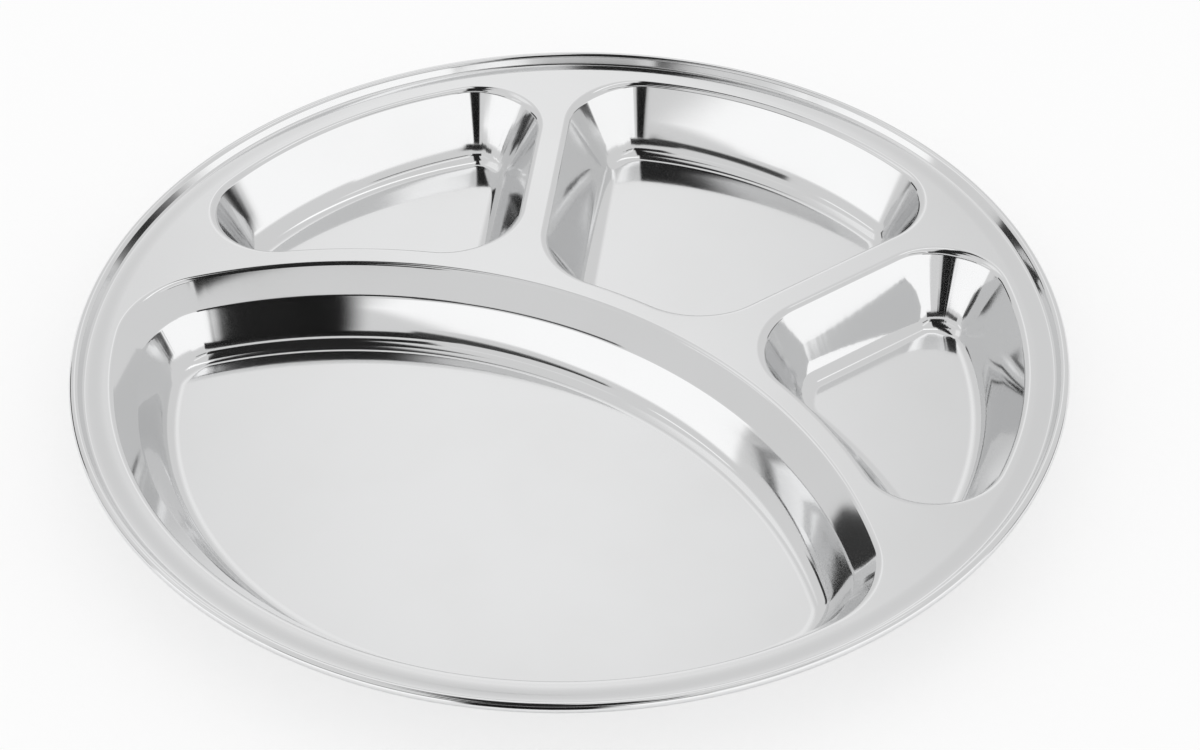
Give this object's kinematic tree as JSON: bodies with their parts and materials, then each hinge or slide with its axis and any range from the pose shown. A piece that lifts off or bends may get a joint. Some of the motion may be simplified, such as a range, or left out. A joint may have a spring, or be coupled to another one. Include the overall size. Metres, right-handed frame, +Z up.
{
  "type": "divided serving plate",
  "caption": "Round pressed sheet-steel serving plate with a rolled rim, a flat deck, a large lens-shaped main well and smaller side wells parted by narrow ridges.",
  "frame": {"origin": "centre of the plate, in the plane of the well floors' undersides, on which it stands", "axes": "+Z up, out of the wells; the plate is symmetric about the plane x = 0, with the main well towards -Y and the rear well towards +Y"},
  "size_m": [0.33, 0.33, 0.0265],
  "materials": {
    "sheet": "stainless steel polished to a mirror, with faint drawing streaks at the well corners"
  },
  "bodies": {
    "root": {"rolled_rim": "sheet", "deck": "sheet", "main_well_wall": "sheet", "main_well_floor": "sheet", "left_well_wall": "sheet", "left_well_floor": "sheet", "rear_well_wall": "sheet", "rear_well_floor": "sheet", "right_well_wall": "sheet", "right_well_floor": "sheet"}
  },
  "joints": []
}
